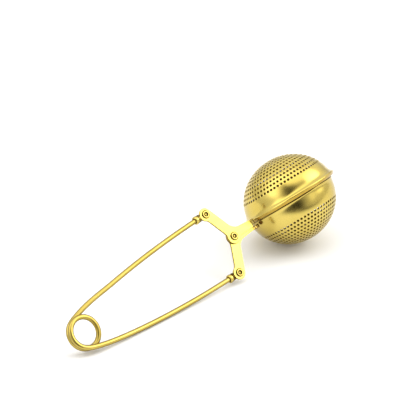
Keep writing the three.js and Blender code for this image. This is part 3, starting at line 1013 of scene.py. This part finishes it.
def bezier(t, start, control1, control2, end):
    return ((1 - t) ** 3 * start + 3 * (1 - t) ** 2 * t * control1
            + 3 * (1 - t) * t * t * control2 + t ** 3 * end)


def arm_points(side, eye_top):
    """one arm from its collar up to the coil"""
    start_n = eye_top - PLATE / 2
    end_u = COIL_U + COIL_R * math.cos(COIL_TOUCH)
    end_v = COIL_R * math.sin(COIL_TOUCH)
    out = []
    for i in range(ARM_STEPS):
        t = i / ARM_STEPS
        u = bezier(t, ARM_START_U, ARM_CONTROL_1[0], ARM_CONTROL_2[0], end_u)
        v = bezier(t, REAR_V, ARM_CONTROL_1[1], ARM_CONTROL_2[1], end_v)
        ease = t * t * (3 - 2 * t)
        out.append((u, side * v, start_n + (-side * COIL_RISE - start_n) * ease))
    return out


def wire_path():
    """evenly spaced points along the upper arm, the coil and the lower arm"""
    coil = []
    sweep = 2 * (2 * math.pi - COIL_TOUCH)
    for i in range(COIL_STEPS + 1):
        angle = COIL_TOUCH + sweep * i / COIL_STEPS
        coil.append((COIL_U + COIL_R * math.cos(angle), COIL_R * math.sin(angle),
                     -COIL_RISE + 2 * COIL_RISE * i / COIL_STEPS))
    path = np.array(arm_points(1, UPPER_EYE_TOP) + coil + arm_points(-1, LOWER_EYE_TOP)[::-1])
    # the oval shape fades in over the last part of the arms
    near = np.clip((COIL_U + 27.0 - path[:, 0]) / 21.0, 0, 1)
    near = near * near * (3 - 2 * near)
    path[:, 1] += near * (COIL_LIFT + (COIL_OVAL - 1) * np.clip(path[:, 1], -COIL_R, COIL_R))
    # even spacing, then a light smoothing of the joins between the parts
    steps = np.linalg.norm(np.diff(path, axis=0), axis=1)
    lengths = np.concatenate([[0], np.cumsum(steps)])
    even = np.linspace(0, lengths[-1], WIRE_STATIONS)
    path = np.stack([np.interp(even, lengths, path[:, k]) for k in range(3)], 1)
    for _ in range(WIRE_SMOOTHING):
        path[1:-1] = 0.25 * path[:-2] + 0.5 * path[1:-1] + 0.25 * path[2:]
    return path


def wire_piece():
    """a round tube along the path, its normals carried along without twist"""
    path = wire_path()
    tangents = np.gradient(path, axis=0)
    tangents /= np.linalg.norm(tangents, axis=1)[:, None]
    normals = np.zeros_like(path)
    normal = np.cross(tangents[0], (0, 0, 1.0))
    normal /= np.linalg.norm(normal)
    for i, tangent in enumerate(tangents):
        normal = normal - tangent * (normal @ tangent)
        normal /= np.linalg.norm(normal)
        normals[i] = normal
    binormals = np.cross(tangents, normals)
    # slightly domed ends inside the collars: station, offset along the wire, radius factor
    last = WIRE_STATIONS - 1
    sections = ([(0, -0.28, 0.55), (0, -0.1, 0.9)]
                + [(i, 0.0, 1.0) for i in range(WIRE_STATIONS)]
                + [(last, 0.1, 0.9), (last, 0.28, 0.55)])
    verts, faces, rings = [], [], []
    angles = np.linspace(0, 2 * math.pi, WIRE_SIDES, endpoint=False)
    for i, offset, factor in sections:
        centre = path[i] + tangents[i] * offset
        rings.append(range(len(verts), len(verts) + WIRE_SIDES))
        for angle in angles:
            spoke = normals[i] * math.cos(angle) + binormals[i] * math.sin(angle)
            verts.append(tuple(centre + spoke * WIRE_R * factor))
    verts.append(tuple(path[0] - tangents[0] * 0.34))
    verts.append(tuple(path[-1] + tangents[-1] * 0.34))
    rings = [[len(verts) - 2]] + rings + [[len(verts) - 1]]
    for first, second in zip(rings[:-1], rings[1:]):
        join_rings(faces, first, second)
    return new_mesh("handle_spring_wire", verts, faces, sharp_angle=60, weighted=False)


wire = put(wire_piece(), wire_gold, "spring_wire", None, "spring_upper_arm", "spring_lower_arm")
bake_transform(wire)

# ------------------------------------------------------------------- studio
scene = bpy.context.scene
scene.view_settings.view_transform = "Standard"
scene.view_settings.look = "None"
scene.view_settings.exposure = 0.0
scene.view_settings.gamma = 1.0

FLOOR_Z = -0.0003                 # metres
camera_axes = [Vector((axis @ HANDLE_AXES).tolist()) for axis in CAMERA_ROWS]
right, up, back = (axis.normalized() for axis in camera_axes)


def level(axis):
    """the horizontal direction of an axis"""
    return Vector((axis.x, axis.y, 0)).normalized()


def floor_material():
    """white, with painted shade on the camera's side of the ball: dark there to all but the
    camera
    """
    material = bpy.data.materials.new("studio_floor_white")
    material.use_nodes = True
    shader = Shader(material.node_tree)
    white = shader.ramp(shader.noise(scale=3.0),
                        (0.0, (0.93, 0.93, 0.93, 1)), (1.0, (0.95, 0.95, 0.95, 1)))
    position = shader.add("NewGeometry").outputs["Position"]
    _, towards_camera = shader.offset(position, ball_centre, level(camera_axes[2]))
    near_camera = shader.map_range(towards_camera, (0.12, 0.26), (0.0, 0.9), smooth=True)
    camera_ray = shader.add("LightPath").outputs["Is Camera Ray"]
    # painted shade: near the camera the floor is dark to every ray but the camera's
    weight = shader.math("MULTIPLY", near_camera, shader.math("SUBTRACT", 1.0, camera_ray))
    shader.set(material.node_tree.nodes["Principled BSDF"], {
        "Base Color": shader.mix(white, (0.05, 0.05, 0.05, 1), weight),
        "Roughness": 0.9, "Specular IOR Level": 0.0})
    return material


def build_floor():
    mesh = bpy.data.meshes.new("studio_floor")
    bm = bmesh.new()
    bmesh.ops.create_grid(bm, x_segments=8, y_segments=8, size=3.0)
    bm.to_mesh(mesh)
    bm.free()
    floor = bpy.data.objects.new("studio_floor", mesh)
    floor.location = (0, 0, FLOOR_Z)
    scene.collection.objects.link(floor)
    # the ball's lower half swings down when the handle is squeezed: the floor then goes down
    # with it, its own location being the offset from the guide
    guide = bpy.data.objects.new("floor_guide", None)
    guide.location = ball_centre
    scene.collection.objects.link(guide)
    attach(guide, "lower_jaw")
    follow = floor.constraints.new("COPY_LOCATION")
    follow.target = guide
    follow.use_x = False
    follow.use_y = False
    follow.use_z = True
    follow.use_offset = True
    floor.location = (0, 0, FLOOR_Z - ball_centre.z)
    stop = floor.constraints.new("LIMIT_LOCATION")
    stop.use_max_z = True
    stop.max_z = FLOOR_Z
    stop.owner_space = "WORLD"
    mesh.materials.append(floor_material())


def build_camera():
    data = bpy.data.cameras.new("camera")
    camera = bpy.data.objects.new("camera", data)
    scene.collection.objects.link(camera)
    data.sensor_width = CAMERA_SENSOR
    data.lens = CAMERA_LENS
    data.clip_start = 0.01
    data.clip_end = 20.0
    placement = Matrix((right, up, back)).transposed().to_4x4()
    placement.translation = row_point(*CAMERA_POS)
    camera.matrix_world = placement
    scene.camera = camera


build_floor()
build_camera()

# -------------------------------------------------------------------- world
# A white sweep with large soft lights overhead, to the right and to the left, and the dark
# side of the room behind the camera.
WALL_LIGHT, SKY_LIGHT, DARK_LIGHT = 0.84, 1.2, 0.05
CAMERA_RAY_LIGHT = 1.0            # plain background seen by the camera
# direction in camera axes (right, up, back), inner and outer angle in degrees, radiance
SOFT_LIGHTS = [
    ((0.05, 0.86, 0.50), 16, 30, 1.9),    # top
    ((0.74, 0.62, 0.25), 13, 31, 4.0),    # right
    ((-0.56, 0.56, 0.60), 20, 33, 2.4),   # left
]
DARK_SIDE_LIGHTS = [
    ((0.80, 0.07, 0.60), 3, 11, 1.5),     # small light on the right
    # a pale gap, which the flat levers mirror towards the side of the object
    ((-0.21, 0.0, 0.98), 9, 19, 0.95),
]


def build_world():
    world = bpy.data.worlds.new("studio_world")
    scene.world = world
    world.use_nodes = True
    world.node_tree.nodes.clear()
    shader = Shader(world.node_tree)
    direction = shader.add("TexCoord").outputs["Generated"]

    def towards(axis):
        return shader.vector("DOT_PRODUCT", direction, axis)

    def step(value, start, end):
        """0 at start rising smoothly to 1 at end; start may be the larger"""
        if start < end:
            return shader.map_range(value, (start, end), smooth=True)
        return shader.map_range(value, (end, start), (1.0, 0.0), smooth=True)

    def blend(current, target, weight):
        change = shader.math("SUBTRACT", target, current)
        return shader.math("ADD", current, shader.math("MULTIPLY", change, weight))

    def add_lights(current, lights):
        for (x, y, z), inner, outer, value in lights:
            axis = (right * x + up * y + back * z).normalized()
            weight = step(towards(axis), math.cos(math.radians(outer)),
                          math.cos(math.radians(inner)))
            current = blend(current, value, weight)
        return current

    height = towards((0, 0, 1))
    radiance = shader.math("ADD", 0.0, WALL_LIGHT)
    radiance = blend(radiance, SKY_LIGHT, step(height, 0.12, 0.5))
    radiance = add_lights(radiance, SOFT_LIGHTS)

    # the camera's side of the room: not far to either side, behind it, and not overhead
    view = level(back)
    sideways = Vector((-view.y, view.x, 0))
    if sideways.dot(right) < 0:
        sideways = -sideways
    aside = shader.math("ABSOLUTE", shader.math("SUBTRACT", towards(sideways), 0.03), 0.0)
    dark = shader.math("MULTIPLY", step(aside, 0.76, 0.28), step(towards(view), 0.05, 0.3))
    dark = shader.math("MULTIPLY", dark, step(height, 0.97, 0.82))
    radiance = blend(radiance, DARK_LIGHT, dark)
    radiance = add_lights(radiance, DARK_SIDE_LIGHTS)

    camera_ray = shader.add("LightPath").outputs["Is Camera Ray"]
    radiance = blend(radiance, CAMERA_RAY_LIGHT, camera_ray)
    background = shader.add("Background", {"Color": (1.0, 0.995, 0.985, 1),
                                           "Strength": radiance})
    shader.add("OutputWorld", {"Surface": background.outputs[0]})


build_world()
